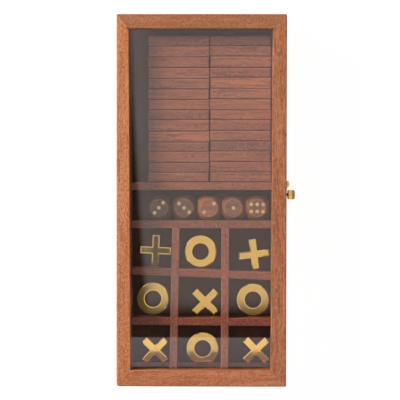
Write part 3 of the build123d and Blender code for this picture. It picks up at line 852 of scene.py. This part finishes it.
tile_figure = (1.3, 1.8, 0.5)
for number, side in enumerate(tile_depths):
    shift = (23.0, 8.0 * number, 5.0)
    tones = ("#663424", tile_tone(side), None, "#B27052")
    arrises = painted_gap_lines(side)
    wood = hardwood(f"sawn tiles, {side}", "X", shift, tones, tile_figure, extra=arrises)
    dress(f"dominoes_{side}", wood)
print("toned", sum(len(boards) for boards in tile_boards.values()), "tiles")

# %% [markdown]
# ## Studio
#
# The floor and the backdrop are white to the camera, and to mirrors and glass. To everything
# else the room is only a soft fill. A softbox low on the upper left does most of the work, and
# its slant is what drops the frame's shadow far across the dominoes. A wide, weak one overhead
# reaches the floors of the cells. A long, low card on the other side keeps the near and right
# walls from going black; it stands too low to reach into the case. All three are kept out of
# mirrors.


# %% What the eye sees as white
def seen_directly(tree):
    """1 for the camera, mirrors and glass, and 0 for the light that falls on things."""
    path = add_node(tree, "ShaderNodeLightPath")
    camera_ray, glossy_ray = path.outputs["Is Camera Ray"], path.outputs["Is Glossy Ray"]
    seen = calculate(tree, "MAXIMUM", camera_ray, glossy_ray)
    return calculate(tree, "MAXIMUM", seen, path.outputs["Is Transmission Ray"])


# %% The room
room_fill = 0.06
world = bpy.data.worlds.new("studio")
world.use_nodes = True
bpy.context.scene.world = world
tree = world.node_tree
tree.nodes.clear()
sockets = {"Value": seen_directly(tree), "To Min": room_fill, "To Max": 1.0}
strength = add_node(tree, "ShaderNodeMapRange", sockets).outputs["Result"]
sockets = {"Color": (1, 1, 1, 1), "Strength": strength}
background = add_node(tree, "ShaderNodeBackground", sockets)
output = add_node(tree, "ShaderNodeOutputWorld")
tree.links.new(background.outputs["Background"], output.inputs["Surface"])
print("room fill:", room_fill)

# %% The floor
start_piece()
bpy.ops.mesh.primitive_plane_add(size=12, location=(0, 0, cad_box[0].z - 0.2 * MM))
floor = bpy.context.object
floor.name = "floor"
floor_paper, tree, surface = new_material("white paper floor")
paper = add_node(tree, "ShaderNodeBsdfDiffuse", {"Color": (0.86, 0.86, 0.86, 1)})
faint = add_node(tree, "ShaderNodeBsdfDiffuse", {"Color": (0.2, 0.2, 0.2, 1)})
glow = add_node(tree, "ShaderNodeEmission", {"Color": (1, 1, 1, 1), "Strength": 0.94})
both = add_node(
    tree, "ShaderNodeAddShader", {0: faint.outputs["BSDF"], 1: glow.outputs["Emission"]}
)
sockets = {0: seen_directly(tree), 1: paper.outputs["BSDF"], 2: both.outputs["Shader"]}
shown = add_node(tree, "ShaderNodeMixShader", sockets)
tree.links.new(shown.outputs["Shader"], surface)
floor.data.materials.append(floor_paper)
print("floor at", round(floor.location.z / MM, 2), "mm")


# %% Lamps
def softbox(name, toward, distance, size, power):
    """A lamp of this width and height in this direction from the object, facing it."""
    data = bpy.data.lights.new(name, "AREA")
    data.shape = "RECTANGLE"
    data.size, data.size_y = size
    data.energy = power
    made = bpy.data.objects.new(name, data)
    direction = Vector(toward).normalized()
    made.location = direction * distance + Vector((0, 0, 0.03))
    made.rotation_euler = (-direction).to_track_quat("-Z", "Y").to_euler()
    made.visible_glossy = False
    bpy.context.scene.collection.objects.link(made)


softbox("low key", (-0.803, 0.43, 0.413), 2.6, (0.68, 0.68), 113)
softbox("overhead fill", (0.05, 0.0, 1.0), 1.7, (0.9, 0.9), 5.5)
softbox("low card", (0.77, -0.63, 0.045), 1.2, (1.2, 0.12), 5.5)
print("3 lamps")

# %% [markdown]
# ## What the glass and the brass mirror
#
# Over the camera hangs a dark ceiling with two lit panels, seen only in mirrors. They are the
# milky reflection that lies over the box's contents, and the gold on the brass. Each edge is
# placed through the mirror: the helper takes a point on the glass, bounces the camera's view
# off it, and gives the point of the ceiling that shows there. The panels fade at their edges.

# %% From the glass to the ceiling
ceiling_height = 1.9
glass_top = glass_high.z
ceiling_stretch = (ceiling_height - glass_top) / (camera_place.z - glass_top) + 1


def mirrored(x_mm, y_mm):
    """Where on the ceiling the camera sees at this point of the glass."""
    spread = ceiling_stretch - 1
    x = x_mm * MM + (x_mm * MM - camera_place.x) * spread
    y = y_mm * MM + (y_mm * MM - camera_place.y) * spread
    return Vector((x, y, ceiling_height))


print("one millimetre of glass shows", round(ceiling_stretch, 2), "mm of ceiling")


# %% Fades across the ceiling
def fade(tree, along, from_mm, to_mm, camera_offset):
    """0 to 1 between two places on the glass, along one of the ceiling's own axes."""
    spread = ceiling_stretch - 1
    start = from_mm * MM + (from_mm * MM - camera_offset) * spread
    stop = to_mm * MM + (to_mm * MM - camera_offset) * spread
    return sharpen(tree, along, start, stop)


def ceiling_sheet(name, glass_corners, drop, light):
    """A sheet on the ceiling that only mirrors see. Light gives its colour and strength."""
    start_piece()
    bpy.ops.mesh.primitive_plane_add(size=2)
    sheet = bpy.context.object
    sheet.name = name
    (left, near), (right, far) = glass_corners
    corners = (left, near), (right, near), (left, far), (right, far)
    for vertex, corner in zip(sheet.data.vertices, corners):
        vertex.co = mirrored(*corner) - Vector((0, 0, drop))
    material, tree, surface = new_material(name)
    axes = add_node(tree, "ShaderNodeSeparateXYZ", {"Vector": object_place(tree)})
    colour, strength = light(tree, axes.outputs["X"], axes.outputs["Y"])
    sockets = {"Color": colour, "Strength": strength}
    glow = add_node(tree, "ShaderNodeEmission", sockets).outputs["Emission"]
    tree.links.new(glow, surface)
    sheet.data.materials.append(material)
    sheet.visible_diffuse = False
    sheet.visible_shadow = False


# %% The ceiling and its panels
far_colour, near_colour = (1.05, 0.9, 0.875, 1), (1.0, 0.86, 0.79, 1)
lower_colour = (1.0, 0.885, 0.9, 1)
dark_level = 0.08

# Where the panels end, in millimetres on the glass
upper_left, upper_far, lower_far, lower_near = -56.8, 130, -110.6, -134.2
upper_near_fade, lower_far_fade = (-94.8, -77), (-109.7, -110.7)
# The upper panel's left edge: its slant, its bow, how soft it is and how wide its bright rim
edge_slant = 12.6 / 210.3
edge_bow = 0.000113
edge_softness, edge_rim = 3.6, 26


def panel_light(tree, x, y):
    """Both panels: how bright the ceiling is at each point."""
    # The upper panel's left edge slants, and bows out a little in the middle.
    slant = calculate(tree, "MULTIPLY", y, -edge_slant)
    far_end = calculate(tree, "SUBTRACT", y, mirrored(0, upper_far).y)
    near_end = calculate(tree, "SUBTRACT", y, mirrored(0, -80).y)
    bow = calculate(tree, "MULTIPLY", far_end, near_end)
    bow = calculate(tree, "MULTIPLY", bow, edge_bow / MM / ceiling_stretch)
    inside = calculate(tree, "SUBTRACT", x, calculate(tree, "ADD", slant, bow))
    edge = mirrored(upper_left, upper_far).x + mirrored(0, upper_far).y * edge_slant
    soft = edge_softness * MM * ceiling_stretch
    left = sharpen(tree, inside, edge - soft, edge + soft)
    rim = sharpen(tree, inside, edge + edge_rim * MM * ceiling_stretch, edge)
    far_share = fade(tree, y, 5, 60, camera_place.y)
    share = add_node(tree, "ShaderNodeMapRange", {"Value": far_share, "To Min": 0.1, "To Max": 0.3})
    rim = calculate(tree, "MULTIPLY", rim, share.outputs["Result"])
    near = fade(tree, y, *upper_near_fade, camera_place.y)
    upper = calculate(tree, "MULTIPLY", left, near)
    upper = calculate(tree, "MULTIPLY", upper, calculate(tree, "ADD", 1.0, rim))
    top = fade(tree, y, *lower_far_fade, camera_place.y)
    start, stop = mirrored(0, lower_near).y, mirrored(0, lower_far).y
    sockets = {"Value": y, "From Min": start, "From Max": stop, "To Min": 0.98, "To Max": 1.2}
    evenness = add_node(tree, "ShaderNodeMapRange", sockets).outputs["Result"]
    lower = calculate(tree, "MULTIPLY", top, evenness)
    lit = calculate(tree, "MAXIMUM", upper, lower)
    colour = tint(tree, fade(tree, y, -20, 40, camera_place.y), near_colour, far_colour)
    colour = tint(tree, top, colour, lower_colour)
    return colour, calculate(tree, "MAXIMUM", lit, dark_level)


def dim_light(tree, x, y):
    """The ceiling beyond the panels: dark, and a little lighter far to the left."""
    left = fade(tree, x, -63, -73, camera_place.x)
    sockets = {"Value": left, "To Min": dark_level, "To Max": 0.28}
    return (1, 1, 1, 1), add_node(tree, "ShaderNodeMapRange", sockets).outputs["Result"]


def near_light(tree, x, y):
    """Nearer than the lower panel the ceiling is evenly dim, and warm."""
    return (0.22, 0.13, 0.07, 1), 1.0


ceiling_sheet("lit ceiling", ((-66, lower_near), (110, 190)), 0.01, panel_light)
ceiling_sheet("near ceiling", ((-66, -165), (110, lower_near)), 0.01, near_light)
ceiling_sheet("dim ceiling", ((-120, -175), (120, 195)), 0.0, dim_light)

# %% [markdown]
# ## Finish
#
# The Standard view shows each colour as it was written.

# %% Finish
bpy.context.scene.view_settings.view_transform = "Standard"
